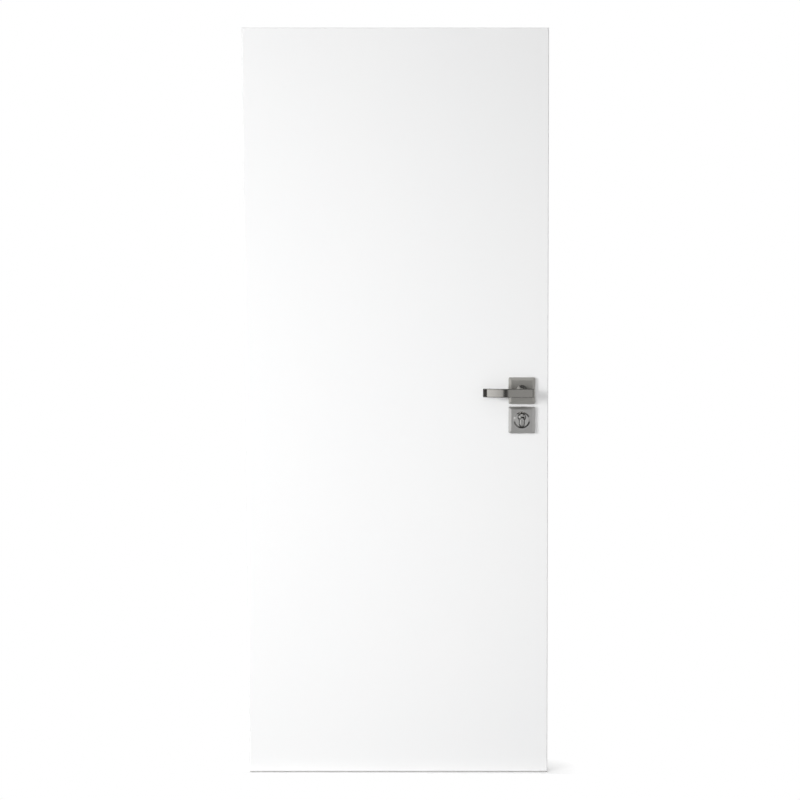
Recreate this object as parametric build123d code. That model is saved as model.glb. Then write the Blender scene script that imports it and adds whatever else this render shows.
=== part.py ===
from build123d import *
from math import cos, radians, sin
import os

# Flush door leaf with its mortice lock, lever set and profile cylinder.
# Frame: x = 0 is the hinge edge, +X runs to the lock edge, the front face looks along -Y,
# z = 0 is the foot of the leaf. All sizes are in millimetres.

# The leaf
LEAF_WIDTH = 826.0
LEAF_HEIGHT = 2040.0
LEAF_THICKNESS = 40.0
SKIN_THICKNESS = 4.0
SKIN_ARRIS = 2.5
LIPPING_DEPTH = 10.0
STILE_WIDTH = 45.0
RAIL_WIDTH = 60.0
LOCK_BLOCK_WIDTH = 110.0
LOCK_BLOCK_HEIGHT = 420.0
TOOL_REACH = 1.0

# The lock in the edge
LEVER_HEIGHT = 1063.0
BACKSET = 72.0
LEVER_TO_CYLINDER = 72.0
CASE_THICKNESS = 15.0
CASE_HEIGHT = 165.0
CASE_BEHIND_SPINDLE = 33.0
CASE_ABOVE_SPINDLE = 52.0
MORTICE_CLEARANCE = 0.5
FOREND_LENGTH = 235.0
FOREND_WIDTH = 20.0
FOREND_THICKNESS = 3.0
FOREND_CLEARANCE = 0.2
FOREND_SCREW_INSET = 10.0
SCREW_HOLE_DIAMETER = 4.4
SCREW_HEAD_DIAMETER = 8.0
CYLINDER_SCREW_DROP = 15.5
BOLT_THICKNESS = 12.0
BOLT_LENGTH = 42.0
BOLT_CLEARANCE = 0.3
BOLT_SET_BACK = 0.2
BOLT_CORNER = 2.0
LATCH_HEIGHT = 32.0
LATCH_ABOVE_SPINDLE = 6.0
DEAD_BOLT_HEIGHT = 36.0
DEAD_BOLT_BELOW_SPINDLE = 58.0
FOLLOWER_DIAMETER = 20.0
RUNNING_CLEARANCE = 0.06
LEAF_HOLE_DIAMETER = 24.0

# The profile cylinder
HEAD_DIAMETER = 17.0
PROFILE_HEIGHT = 33.0
LEG_WIDTH = 10.0
CYLINDER_PROUD = 1.5
CYLINDER_BEVEL_WIDTH = 1.5
CYLINDER_BEVEL_DEPTH = 0.6
PLUG_DIAMETER = 13.0
PLUG_DEPTH = 28.0
PLUG_PROUD = 0.4
KEYWAY_REACH = 1.4
KEYWAY_WIDTH = 3.4
KEYWAY_STEP = 0.8
KEYWAY_DEPTH = 24.0
PROFILE_CLEARANCE = 1.0
FLARE_WIDTH = 0.6
FLARE_DEPTH = 0.3

# The square roses, one under the lever and one round the cylinder
ROSE_SIDE = 72.5
ROSE_CORNER = 4.0
ROSE_DEPTH = 10.0
ROSE_WALL = 1.5
ROSE_FRONT_WALL = 4.0
BEVEL_WIDTH = 7.5
BEVEL_DEPTH = 3.2
BASE_THICKNESS = 2.5
BASE_CLEARANCE = 0.5
BOSS_LAND = 0.3
BOSS_FLANK = 4.4
BOSS_HEIGHT = 2.5

# The lever
SPINDLE_SIDE = 8.0
SPINDLE_IN_LEVER = 24.0
STUB_DIAMETER = 22.0
STUB_END_GAP = 1.0
NECK_DIAMETER = 16.0
NECK_FOOT_DIAMETER = 32.0
NECK_FOOT_HEIGHT = 8.0
NECK_RIM = 1.0
NECK_GAP = 0.5
LEVER_PROJECTION = 58.0
LEVER_REACH = 105.4
LEVER_TAIL = 31.0
BAR_HEIGHT = 23.6
BAR_THICKNESS = 8.0
BAR_ARRIS = 1.4
BAR_DROP = 3.6
PLATE_LENGTH = 34.5
BEND_RADIUS = 100.0
BEND_ANGLE = 10.0
GRIP_RADIUS = 480.0
GRIP_ANGLE = 4.0
END_RADIUS = 14.0
END_ANGLE = 30.0
END_LENGTH = 9.3

# Places that follow from the sizes above
FACE_Y = LEAF_THICKNESS / 2
FRAME_Y = FACE_Y - SKIN_THICKNESS
SPINDLE_X = LEAF_WIDTH - BACKSET
CYLINDER_HEIGHT = LEVER_HEIGHT - LEVER_TO_CYLINDER
STILE_IN = LIPPING_DEPTH + STILE_WIDTH
RAIL_IN = LIPPING_DEPTH + RAIL_WIDTH
CASE_TOP = LEVER_HEIGHT + CASE_ABOVE_SPINDLE
CASE_MIDDLE = CASE_TOP - CASE_HEIGHT / 2
CASE_BACK_X = SPINDLE_X - CASE_BEHIND_SPINDLE
FOREND_BACK_X = LEAF_WIDTH - FOREND_THICKNESS
PROFILE_DROP = PROFILE_HEIGHT - HEAD_DIAMETER / 2
PROFILE_MIDDLE = (PROFILE_DROP - HEAD_DIAMETER / 2) / 2
CYLINDER_FACE = ROSE_DEPTH + BOSS_HEIGHT + CYLINDER_PROUD
CYLINDER_LENGTH = LEAF_THICKNESS + 2 * CYLINDER_FACE
ROSE_HOLLOW = ROSE_DEPTH - ROSE_FRONT_WALL
BOSS_TOP_RADIUS = PROFILE_HEIGHT / 2 + PROFILE_CLEARANCE + FLARE_WIDTH + BOSS_LAND
BAR_AXIS = LEVER_PROJECTION - BAR_THICKNESS / 2


def slab(x_low, x_high, y_low, y_high, z_low, z_high):
    """A block between two planes in each direction."""
    size = (x_high - x_low, y_high - y_low, z_high - z_low)
    middle = ((x_low + x_high) / 2, (y_low + y_high) / 2, (z_low + z_high) / 2)
    return Pos(*middle) * Box(*size)


def on_face(height):
    """The plane of the leaf's front face at the spindle line: x to the lock, y up, z outwards."""
    return Plane(origin=(SPINDLE_X, -FACE_Y, height), x_dir=(1, 0, 0), z_dir=(0, -1, 0))


def on_edge(height):
    """The plane of the lock edge: x towards the back face, y up, z outwards."""
    return Plane(origin=(LEAF_WIDTH, 0, height), x_dir=(0, 1, 0), z_dir=(1, 0, 0))


def profile(clearance=0.0):
    """The cylinder's outline: a round head with a straight leg that ends in a half round."""
    head = Circle(HEAD_DIAMETER / 2 + clearance)
    leg_length = PROFILE_DROP - LEG_WIDTH / 2
    leg = Pos(0, -leg_length / 2) * Rectangle(LEG_WIDTH + 2 * clearance, leg_length)
    foot = Pos(0, -leg_length) * Circle(LEG_WIDTH / 2 + clearance)
    return head + leg + foot


def through_leaf(height, sketch, reach):
    """A cut through the whole leaf at the spindle line, running on by reach past both faces."""
    tool = extrude(sketch, LEAF_THICKNESS + 2 * reach)
    return on_face(height) * (Pos(0, 0, -LEAF_THICKNESS - reach) * tool)


def leaf_holes():
    """The two holes that the furniture hides: one for the spindle, one for the cylinder."""
    spindle_hole = through_leaf(LEVER_HEIGHT, Circle(LEAF_HOLE_DIAMETER / 2), TOOL_REACH)
    cylinder_hole = through_leaf(CYLINDER_HEIGHT, profile(PROFILE_CLEARANCE), TOOL_REACH)
    return spindle_hole + cylinder_hole


def front_skin():
    """The face board, full size, with a rounded arris along its four outer edges."""
    board = slab(0, LEAF_WIDTH, -FACE_Y, -FRAME_Y, 0, LEAF_HEIGHT)
    outer = board.faces().sort_by(Axis.Y)[0]
    board = fillet(outer.edges(), SKIN_ARRIS)
    return board - leaf_holes()


def mortice():
    """The pocket for the lock case, open at the lock edge."""
    half = CASE_THICKNESS / 2 + MORTICE_CLEARANCE
    low = CASE_TOP - CASE_HEIGHT - MORTICE_CLEARANCE
    high = CASE_TOP + MORTICE_CLEARANCE
    back = CASE_BACK_X - MORTICE_CLEARANCE
    return slab(back, LEAF_WIDTH + TOOL_REACH, -half, half, low, high)


def forend_outline(clearance=0.0):
    """The strip's outline, straight with two half-round ends."""
    width = FOREND_WIDTH + 2 * clearance
    length = FOREND_LENGTH + 2 * clearance
    return Rot(0, 0, 90) * SlotOverall(length, width)


def forend_recess():
    """The shallow housing that lets the forend lie flush in the lock edge."""
    pocket = extrude(forend_outline(FOREND_CLEARANCE), -FOREND_THICKNESS)
    return on_edge(CASE_MIDDLE) * pocket


def hinge_lipping():
    return slab(0, LIPPING_DEPTH, -FRAME_Y, FRAME_Y, 0, LEAF_HEIGHT)


def lock_lipping():
    """The long lipping on the lock side, cut for the forend and the lock case."""
    strip = slab(LEAF_WIDTH - LIPPING_DEPTH, LEAF_WIDTH, -FRAME_Y, FRAME_Y, 0, LEAF_HEIGHT)
    return strip - forend_recess() - mortice()


def end_lipping(z_low):
    return slab(LIPPING_DEPTH, LEAF_WIDTH - LIPPING_DEPTH, -FRAME_Y, FRAME_Y, z_low, z_low + LIPPING_DEPTH)


def stile(x_low):
    low = LIPPING_DEPTH
    high = LEAF_HEIGHT - LIPPING_DEPTH
    return slab(x_low, x_low + STILE_WIDTH, -FRAME_Y, FRAME_Y, low, high)


def rail(z_low):
    return slab(STILE_IN, LEAF_WIDTH - STILE_IN, -FRAME_Y, FRAME_Y, z_low, z_low + RAIL_WIDTH)


def lock_block_envelope():
    """The space of the timber block beside the lock stile."""
    high_x = LEAF_WIDTH - STILE_IN
    half = LOCK_BLOCK_HEIGHT / 2
    low_x = high_x - LOCK_BLOCK_WIDTH
    return slab(low_x, high_x, -FRAME_Y, FRAME_Y, CASE_MIDDLE - half, CASE_MIDDLE + half)


def core():
    """The board that fills the frame, notched round the lock block."""
    x_high = LEAF_WIDTH - STILE_IN
    fill = slab(STILE_IN, x_high, -FRAME_Y, FRAME_Y, RAIL_IN, LEAF_HEIGHT - RAIL_IN)
    return fill - lock_block_envelope()


def leaf_parts():
    """The boards and lippings, each a piece of its own."""
    skin = front_skin()
    return {
        "front_skin": skin,
        "back_skin": mirror(skin, about=Plane.XZ),
        "hinge_lipping": hinge_lipping(),
        "lock_lipping": lock_lipping(),
        "top_lipping": end_lipping(LEAF_HEIGHT - LIPPING_DEPTH),
        "bottom_lipping": end_lipping(0),
        "hinge_stile": stile(LIPPING_DEPTH),
        "lock_stile": stile(LEAF_WIDTH - STILE_IN) - mortice(),
        "top_rail": rail(LEAF_HEIGHT - RAIL_IN),
        "bottom_rail": rail(LIPPING_DEPTH),
        "lock_block": lock_block_envelope() - mortice() - leaf_holes(),
        "core": core(),
    }


def bolt(middle, height):
    """A withdrawn bolt with rounded upright corners, its nose just behind the forend's face."""
    half = BOLT_THICKNESS / 2
    nose = LEAF_WIDTH - BOLT_SET_BACK
    body = slab(nose - BOLT_LENGTH, nose, -half, half, middle - height / 2, middle + height / 2)
    return fillet(body.edges().filter_by(Axis.X), BOLT_CORNER)


def bolt_pocket(middle, height):
    """The window and channel that a bolt slides in, open at the edge."""
    half = BOLT_THICKNESS / 2 + BOLT_CLEARANCE
    low = middle - height / 2 - BOLT_CLEARANCE
    high = middle + height / 2 + BOLT_CLEARANCE
    back = LEAF_WIDTH - BOLT_SET_BACK - BOLT_LENGTH - BOLT_CLEARANCE
    channel = slab(back, LEAF_WIDTH + TOOL_REACH, -half, half, low, high)
    return fillet(channel.edges().filter_by(Axis.X), BOLT_CORNER + BOLT_CLEARANCE)


def bolt_pockets():
    latch_middle = LEVER_HEIGHT + LATCH_ABOVE_SPINDLE
    dead_middle = LEVER_HEIGHT - DEAD_BOLT_BELOW_SPINDLE
    latch_pocket = bolt_pocket(latch_middle, LATCH_HEIGHT)
    return latch_pocket + bolt_pocket(dead_middle, DEAD_BOLT_HEIGHT)


def countersunk_hole(height):
    """A screw hole through the forend with a cone for the head."""
    cone_depth = (SCREW_HEAD_DIAMETER - SCREW_HOLE_DIAMETER) / 2
    shank = Pos(0, 0, -FOREND_THICKNESS / 2) * Cylinder(SCREW_HOLE_DIAMETER / 2, 2 * FOREND_THICKNESS)
    cone = Cone(SCREW_HOLE_DIAMETER / 2, SCREW_HEAD_DIAMETER / 2, cone_depth)
    return on_edge(height) * (shank + Pos(0, 0, -cone_depth / 2) * cone)


def forend():
    """The strip that shows in the lock edge, with bolt windows and three screw holes."""
    strip = on_edge(CASE_MIDDLE) * extrude(forend_outline(), -FOREND_THICKNESS)
    strip = strip - bolt_pockets()
    reach = FOREND_LENGTH / 2 - FOREND_SCREW_INSET
    cylinder_screw = CYLINDER_HEIGHT - CYLINDER_SCREW_DROP
    for height in (CASE_MIDDLE - reach, CASE_MIDDLE + reach, cylinder_screw):
        strip = strip - countersunk_hole(height)
    return strip


def lock_case():
    """The closed case behind the forend, bored for the follower, the cylinder and the bolts."""
    half = CASE_THICKNESS / 2
    case = slab(CASE_BACK_X, FOREND_BACK_X, -half, half, CASE_TOP - CASE_HEIGHT, CASE_TOP)
    follower_bore = Circle(FOLLOWER_DIAMETER / 2 + RUNNING_CLEARANCE)
    case = case - through_leaf(LEVER_HEIGHT, follower_bore, TOOL_REACH)
    case = case - through_leaf(CYLINDER_HEIGHT, profile(MORTICE_CLEARANCE), TOOL_REACH)
    return case - bolt_pockets()


def follower():
    """The round nut in the case that the square spindle turns."""
    ring = Circle(FOLLOWER_DIAMETER / 2) - Rectangle(SPINDLE_SIDE, SPINDLE_SIDE)
    nut = extrude(ring, CASE_THICKNESS)
    return on_face(LEVER_HEIGHT) * (Pos(0, 0, -FACE_Y - CASE_THICKNESS / 2) * nut)


def lock_parts():
    return {
        "forend": forend(),
        "lock_case": lock_case(),
        "latch_bolt": bolt(LEVER_HEIGHT + LATCH_ABOVE_SPINDLE, LATCH_HEIGHT),
        "dead_bolt": bolt(LEVER_HEIGHT - DEAD_BOLT_BELOW_SPINDLE, DEAD_BOLT_HEIGHT),
        "follower": follower(),
    }


def cylinder_body():
    """The profile cylinder, bored from both faces for its plugs."""
    barrel = extrude(profile(), CYLINDER_LENGTH)
    for end in (0, -1):
        face = barrel.faces().sort_by(Axis.Z)[end]
        barrel = chamfer(face.edges(), CYLINDER_BEVEL_WIDTH, CYLINDER_BEVEL_DEPTH, reference=face)
    bore_radius = PLUG_DIAMETER / 2 + RUNNING_CLEARANCE
    bore = Cylinder(bore_radius, PLUG_DEPTH, align=(Align.CENTER, Align.CENTER, Align.MIN))
    barrel = barrel - bore - Pos(0, 0, CYLINDER_LENGTH - PLUG_DEPTH) * bore
    return on_face(CYLINDER_HEIGHT) * (Pos(0, 0, CYLINDER_FACE - CYLINDER_LENGTH) * barrel)


def keyway():
    """The stepped slot of the key, open at the plug's rim on the lock side."""
    rim = PLUG_DIAMETER / 2 + TOOL_REACH
    half = KEYWAY_WIDTH / 2
    waist = (rim - KEYWAY_REACH) / 2
    points = [
        (-KEYWAY_REACH, -half + KEYWAY_STEP),
        (waist, -half + KEYWAY_STEP),
        (waist, -half),
        (rim, -half),
        (rim, half - KEYWAY_STEP),
        (0, half - KEYWAY_STEP),
        (0, half),
        (-KEYWAY_REACH, half),
    ]
    return make_face(Polyline(points, close=True).edges())


def front_plug():
    """The turning plug with its keyway, its face a little proud of the cylinder."""
    length = PLUG_DEPTH + PLUG_PROUD - RUNNING_CLEARANCE
    plug = Cylinder(PLUG_DIAMETER / 2, length, align=(Align.CENTER, Align.CENTER, Align.MAX))
    plug = plug - extrude(keyway(), -KEYWAY_DEPTH)
    return on_face(CYLINDER_HEIGHT) * (Pos(0, 0, CYLINDER_FACE + PLUG_PROUD) * plug)


def rose_shell():
    """A square cover with a wide mitred bevel and rounded corners, hollow towards the leaf."""
    block = Pos(0, 0, ROSE_DEPTH / 2) * Box(ROSE_SIDE, ROSE_SIDE, ROSE_DEPTH)
    face = block.faces().sort_by(Axis.Z)[-1]
    block = chamfer(face.edges(), BEVEL_WIDTH, BEVEL_DEPTH, reference=face)
    block = block & extrude(RectangleRounded(ROSE_SIDE, ROSE_SIDE, ROSE_CORNER), ROSE_DEPTH)
    inner_side = ROSE_SIDE - 2 * ROSE_WALL
    return block - extrude(Rectangle(inner_side, inner_side), ROSE_HOLLOW)


def lever_rose():
    """The cover under the lever, with a hole for the lever's stub."""
    hole = Cylinder(STUB_DIAMETER / 2 + NECK_GAP, 2 * (ROSE_DEPTH + TOOL_REACH))
    return on_face(LEVER_HEIGHT) * (rose_shell() - hole)


def base_plate():
    """The fixing plate inside a rose, held clear of the shell's walls."""
    side = ROSE_SIDE - 2 * (ROSE_WALL + BASE_CLEARANCE)
    return extrude(Rectangle(side, side), BASE_THICKNESS)


def lever_rose_base():
    """The fixing plate with the bore that the lever's stub turns in."""
    bore = Cylinder(STUB_DIAMETER / 2 + RUNNING_CLEARANCE, 2 * (BASE_THICKNESS + TOOL_REACH))
    return on_face(LEVER_HEIGHT) * (base_plate() - bore)


def escutcheon_plane():
    """The middle of the lower rose, so that the cylinder's outline sits centred in it."""
    return on_face(CYLINDER_HEIGHT - PROFILE_MIDDLE)


def profile_cut(depth):
    """The opening for the cylinder, in the lower rose's own plane."""
    return Pos(0, PROFILE_MIDDLE, 0) * extrude(profile(PROFILE_CLEARANCE), depth)


def profile_flare(top):
    """The widened mouth of the opening: a cone at each end of the outline and a wedge between."""
    near = HEAD_DIAMETER / 2 + PROFILE_CLEARANCE
    far = LEG_WIDTH / 2 + PROFILE_CLEARANCE
    leg_length = PROFILE_DROP - LEG_WIDTH / 2
    head = Cone(near, near + FLARE_WIDTH, FLARE_DEPTH)
    foot = Pos(0, -leg_length, 0) * Cone(far, far + FLARE_WIDTH, FLARE_DEPTH)
    half = FLARE_DEPTH / 2
    wedge = Polyline([(-far, -half), (far, -half), (far + FLARE_WIDTH, half), (-far - FLARE_WIDTH, half)], close=True)
    leg = extrude(Plane.XZ * make_face(wedge.edges()), leg_length)
    return Pos(0, PROFILE_MIDDLE, top - half) * (head + foot + leg)


def boss():
    """The low round boss, a flat cone whose top just holds the flared opening."""
    foot_radius = BOSS_TOP_RADIUS + BOSS_FLANK
    return Cone(foot_radius, BOSS_TOP_RADIUS, BOSS_HEIGHT, align=(Align.CENTER, Align.CENTER, Align.MIN))


def escutcheon():
    """The cover round the cylinder: the same shell with a round boss and the profile opening."""
    cover = rose_shell() + Pos(0, 0, ROSE_DEPTH) * boss()
    top = ROSE_DEPTH + BOSS_HEIGHT
    return escutcheon_plane() * (cover - profile_cut(top) - profile_flare(top))


def escutcheon_base():
    """The fixing plate with a plain window round the cylinder."""
    width = HEAD_DIAMETER + 2 * PROFILE_CLEARANCE
    height = PROFILE_HEIGHT + 2 * PROFILE_CLEARANCE
    return escutcheon_plane() * (base_plate() - extrude(Rectangle(width, height), BASE_THICKNESS))


def lever_bar():
    """A flat bar swept along a plan of straight runs and tangent arcs, each leaning more to the leaf."""
    run_lean = radians(BEND_ANGLE)
    grip_lean = radians(BEND_ANGLE + GRIP_ANGLE)
    end_lean = radians(BEND_ANGLE + GRIP_ANGLE + END_ANGLE)
    bend_reach = BEND_RADIUS * sin(run_lean)
    grip_reach = GRIP_RADIUS * (sin(grip_lean) - sin(run_lean))
    end_reach = END_RADIUS * (sin(end_lean) - sin(grip_lean)) + END_LENGTH * cos(end_lean)
    corner_reach = BAR_THICKNESS / 2 * sin(end_lean)
    curves_reach = bend_reach + grip_reach + end_reach + corner_reach
    run_length = (LEVER_REACH - PLATE_LENGTH - curves_reach) / cos(run_lean)
    plan = Plane(origin=(LEVER_TAIL, -BAR_DROP, BAR_AXIS), x_dir=(-1, 0, 0), z_dir=(0, -1, 0))
    with BuildLine(plan) as path:
        plate = Line((0, 0), (LEVER_TAIL + PLATE_LENGTH, 0))
        bend = JernArc(plate @ 1, plate % 1, BEND_RADIUS, BEND_ANGLE)
        run = PolarLine(bend @ 1, run_length, direction=bend % 1)
        grip = JernArc(run @ 1, run % 1, GRIP_RADIUS, GRIP_ANGLE)
        turn = JernArc(grip @ 1, grip % 1, END_RADIUS, END_ANGLE)
        PolarLine(turn @ 1, END_LENGTH, direction=turn % 1)
    start = Plane(origin=plan.origin, x_dir=(0, 1, 0), z_dir=(-1, 0, 0))
    section = chamfer(Rectangle(BAR_HEIGHT, BAR_THICKNESS).vertices(), BAR_ARRIS)
    return sweep(start * section, path=path.wire())


def neck():
    """The turned neck: a stub in the rose, a conical foot and a shaft up to the bar."""
    foot = ROSE_DEPTH + NECK_GAP
    cone_low = foot + NECK_RIM
    points = [
        (0, STUB_END_GAP),
        (STUB_DIAMETER / 2, STUB_END_GAP),
        (STUB_DIAMETER / 2, foot),
        (NECK_FOOT_DIAMETER / 2, foot),
        (NECK_FOOT_DIAMETER / 2, cone_low),
        (NECK_DIAMETER / 2, cone_low + NECK_FOOT_HEIGHT),
        (NECK_DIAMETER / 2, BAR_AXIS),
        (0, BAR_AXIS),
    ]
    outline = make_face(Polyline(points, close=True).edges())
    return revolve(Plane.XZ * outline, axis=Axis.Z)


def front_lever():
    """The handle: neck and bar in one casting, with the socket for the spindle."""
    handle = neck() + lever_bar()
    socket_end = ROSE_DEPTH + SPINDLE_IN_LEVER
    socket = extrude(Rectangle(SPINDLE_SIDE, SPINDLE_SIDE), socket_end)
    return on_face(LEVER_HEIGHT) * (handle - socket)


def spindle():
    """The square bar that joins both levers through the follower."""
    reach = ROSE_DEPTH + SPINDLE_IN_LEVER
    bar = extrude(Rectangle(SPINDLE_SIDE, SPINDLE_SIDE), LEAF_THICKNESS + 2 * reach)
    return on_face(LEVER_HEIGHT) * (Pos(0, 0, -LEAF_THICKNESS - reach) * bar)


def furniture_parts():
    """Both sides of the furniture: the back repeats the front as its mirror image."""
    front = {
        "rose": lever_rose(),
        "rose_base": lever_rose_base(),
        "lever": front_lever(),
        "escutcheon": escutcheon(),
        "escutcheon_base": escutcheon_base(),
        "key_plug": front_plug(),
    }
    parts = {"spindle": spindle(), "cylinder_body": cylinder_body()}
    for name, piece in front.items():
        parts["front_" + name] = piece
        parts["back_" + name] = mirror(piece, about=Plane.XZ)
    return parts


def main():
    os.makedirs("parts", exist_ok=True)
    pieces = {**leaf_parts(), **lock_parts(), **furniture_parts()}
    for name, piece in pieces.items():
        export_step(piece, "parts/" + name + ".step")
        print(name, "volume", round(piece.volume))


main()
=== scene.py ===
# %% [markdown]
# # A white flush door leaf with its lever set
# This lesson dresses a door leaf for a catalogue picture: a white lacquered board, a square lever
# set in satin nickel and a key cylinder. The solids come from the construction and stay as they
# are. What is made here is every finish, the screws in the lock edge, the rims of the key plugs,
# the studio and the camera.

# %% Load the fixed frame
import math

import bpy
import numpy as np
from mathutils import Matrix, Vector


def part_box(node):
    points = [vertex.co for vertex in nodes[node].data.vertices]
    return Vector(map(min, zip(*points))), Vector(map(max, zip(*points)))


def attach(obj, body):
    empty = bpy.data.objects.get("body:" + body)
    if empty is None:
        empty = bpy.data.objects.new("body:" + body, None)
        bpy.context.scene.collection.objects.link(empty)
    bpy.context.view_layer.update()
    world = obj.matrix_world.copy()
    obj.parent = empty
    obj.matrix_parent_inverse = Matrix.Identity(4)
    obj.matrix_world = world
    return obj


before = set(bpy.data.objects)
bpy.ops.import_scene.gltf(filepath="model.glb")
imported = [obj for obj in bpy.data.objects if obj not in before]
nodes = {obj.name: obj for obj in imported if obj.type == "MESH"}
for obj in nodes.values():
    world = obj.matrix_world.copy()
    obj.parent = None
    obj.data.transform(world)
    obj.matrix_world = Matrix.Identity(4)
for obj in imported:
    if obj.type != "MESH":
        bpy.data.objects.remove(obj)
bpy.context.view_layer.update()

print("solids loaded:", len(nodes))

# %% [markdown]
# ## Places on the leaf
# Screws, rims and patterns have to land on the right spots of the board. Their places could be
# typed in as numbers, but they would miss as soon as the construction changed. So they are read
# from the boxes round the solids: the corners of the front board, the line that the lever turns
# on, and the middles of the escutcheon and of the key plug.

# %% Read the leaf's sizes
skin_low, skin_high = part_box("front_skin")
rose_low, rose_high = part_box("front_rose")
plate_low, plate_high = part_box("front_escutcheon")
plug_low, plug_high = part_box("front_key_plug")
LEAF_WIDTH = skin_high.x
LEAF_HEIGHT = skin_high.z
HALF_THICKNESS = -skin_low.y
SPINDLE_X = (rose_low.x + rose_high.x) / 2
SPINDLE_Z = (rose_low.z + rose_high.z) / 2
PLATE_Z = (plate_low.z + plate_high.z) / 2
PLUG_Z = (plug_low.z + plug_high.z) / 2
print("leaf", round(LEAF_WIDTH, 3), "by", round(LEAF_HEIGHT, 3))
print("spindle at", round(SPINDLE_X, 3), round(SPINDLE_Z, 3))

# %% [markdown]
# ## Helpers that add nodes
# A finish is a chain of shader nodes. Written out in full, each node takes five or six lines, and
# the recipe gets lost among them. One small helper adds a node, sets its options and feeds its
# inputs, either with a plain value or with the output of an earlier node, so that a recipe reads
# as a list of steps. Two more open and close every finish in the same way.


# %% Helpers that add nodes
def add(tree, kind, inputs=None, **options):
    """Adds a node to the tree, sets its options and feeds each named or numbered input."""
    made = tree.nodes.new(kind)
    for name, value in options.items():
        setattr(made, name, value)
    for name, value in (inputs or {}).items():
        if isinstance(value, bpy.types.NodeSocket):
            tree.links.new(value, made.inputs[name])
        else:
            made.inputs[name].default_value = value
    return made


def new_finish(name):
    """A new material with an empty tree: returns the material, its tree and its object coordinates."""
    material = bpy.data.materials.new(name)
    material.use_nodes = True
    tree = material.node_tree
    tree.nodes.clear()
    place = add(tree, "ShaderNodeTexCoord").outputs["Object"]
    return material, tree, place


def finish_with(tree, colour, roughness, normal, **sockets):
    """The one surface shader of a finish, with its even values set on its own sockets."""
    inputs = {"Base Color": colour, "Roughness": roughness, "Normal": normal}
    shader = add(tree, "ShaderNodeBsdfPrincipled", inputs)
    for name, value in sockets.items():
        shader.inputs[name].default_value = value
    add(tree, "ShaderNodeOutputMaterial", {"Surface": shader.outputs[0]})


print("node helpers ready")

# %% [markdown]
# ## Helpers for values and masks
# A mask is a value from 0 to 1 that says where something shows, such as dust near the floor. It
# comes from a distance or a height by a straight ramp between two limits, and it can be carried
# onto any other range, such as the range of a roughness.


# %% Helpers for values and masks
def maths(tree, operation, a, b=0.0, c=0.0):
    """One sum on values: the operation's name and up to three inputs."""
    return add(tree, "ShaderNodeMath", {0: a, 1: b, 2: c}, operation=operation).outputs[0]


def between(tree, value, low, high):
    """Carries a mask of 0 to 1 onto the range from low to high."""
    return add(tree, "ShaderNodeMapRange", {"Value": value, "To Min": low, "To Max": high}).outputs[0]


def step(tree, value, low, high):
    """0 up to low, 1 from high on and a straight ramp between; low may be the larger."""
    return add(tree, "ShaderNodeMapRange", {"Value": value, "From Min": low, "From Max": high}).outputs[0]


def axes_of(tree, place):
    """The three coordinates of a place, by the names X, Y and Z."""
    return add(tree, "ShaderNodeSeparateXYZ", {"Vector": place}).outputs


def length_of(tree, first, second):
    """The length of a slope from its two sides: the root of the sum of their squares."""
    squared = maths(tree, "MULTIPLY_ADD", first, first, maths(tree, "MULTIPLY", second, second))
    return maths(tree, "SQRT", squared)


print("mask helpers ready")

# %% [markdown]
# ## Helpers for patterns
# Paint and metal are never even, so every finish needs some noise. It could be painted in a
# picture, but noise has no seams, no fixed sharpness and the same size on every piece. A squeeze
# along one axis turns its round spots into streaks that run along the least squeezed one.

# %% Helpers for patterns
EVEN = (1.0, 1.0, 1.0)
MIX_FIRST_COLOUR = 6
MIX_SECOND_COLOUR = 7
MIX_COLOUR_OUT = 2


def noise(tree, place, scale, detail=3.0, squeeze=EVEN):
    """Soft noise over the surface, in cycles for a metre, squeezed by a factor for each axis."""
    spread = add(tree, "ShaderNodeMapping", {"Vector": place, "Scale": squeeze})
    inputs = {"Vector": spread.outputs[0], "Scale": scale, "Detail": detail}
    return add(tree, "ShaderNodeTexNoise", inputs).outputs["Fac"]


def blend_colours(tree, mask, first, second):
    """Mixes two colours by a mask: the first where it is 0, the second where it is 1."""
    made = add(tree, "ShaderNodeMix", {0: mask}, data_type="RGBA")
    for slot, colour in ((MIX_FIRST_COLOUR, first), (MIX_SECOND_COLOUR, second)):
        if isinstance(colour, bpy.types.NodeSocket):
            tree.links.new(colour, made.inputs[slot])
        else:
            made.inputs[slot].default_value = (*colour, 1.0)
    return made.outputs[MIX_COLOUR_OUT]


def bump(tree, height, strength, relief):
    """Turns a height into a tilt of the surface; relief is the height of 1, in metres."""
    inputs = {"Height": height, "Strength": strength, "Distance": relief}
    return add(tree, "ShaderNodeBump", inputs).outputs[0]


print("pattern helpers ready")

# %% [markdown]
# ## Helpers for shared effects
# Some effects return in more than one finish, such as the scratches of ground metal. Copied nodes
# would drift apart when one copy is mended. So each such effect is built once, as a group of nodes
# with named inputs and outputs, and every finish places that group with its own values.

# %% Helpers for shared effects
NUMBER = "NodeSocketFloat"
VECTOR = "NodeSocketVector"
COLOUR = "NodeSocketColor"


def new_group(name, inputs, outputs):
    """An empty group with named sockets: returns the group, what it is given and where its results go."""
    group = bpy.data.node_groups.new(name, "ShaderNodeTree")
    for socket, kind in inputs.items():
        group.interface.new_socket(socket, in_out="INPUT", socket_type=kind)
    for socket, kind in outputs.items():
        group.interface.new_socket(socket, in_out="OUTPUT", socket_type=kind)
    given = add(group, "NodeGroupInput").outputs
    results = add(group, "NodeGroupOutput").inputs
    return group, given, results


def hand_out(group, results, values):
    """Links each named value to the group's output of that name."""
    for name, value in values.items():
        group.links.new(value, results[name])


def place_group(tree, group, inputs):
    """Places a group in a finish, feeds its named inputs and returns its outputs."""
    return add(tree, "ShaderNodeGroup", inputs, node_tree=group).outputs


print("group helpers ready")

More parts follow.
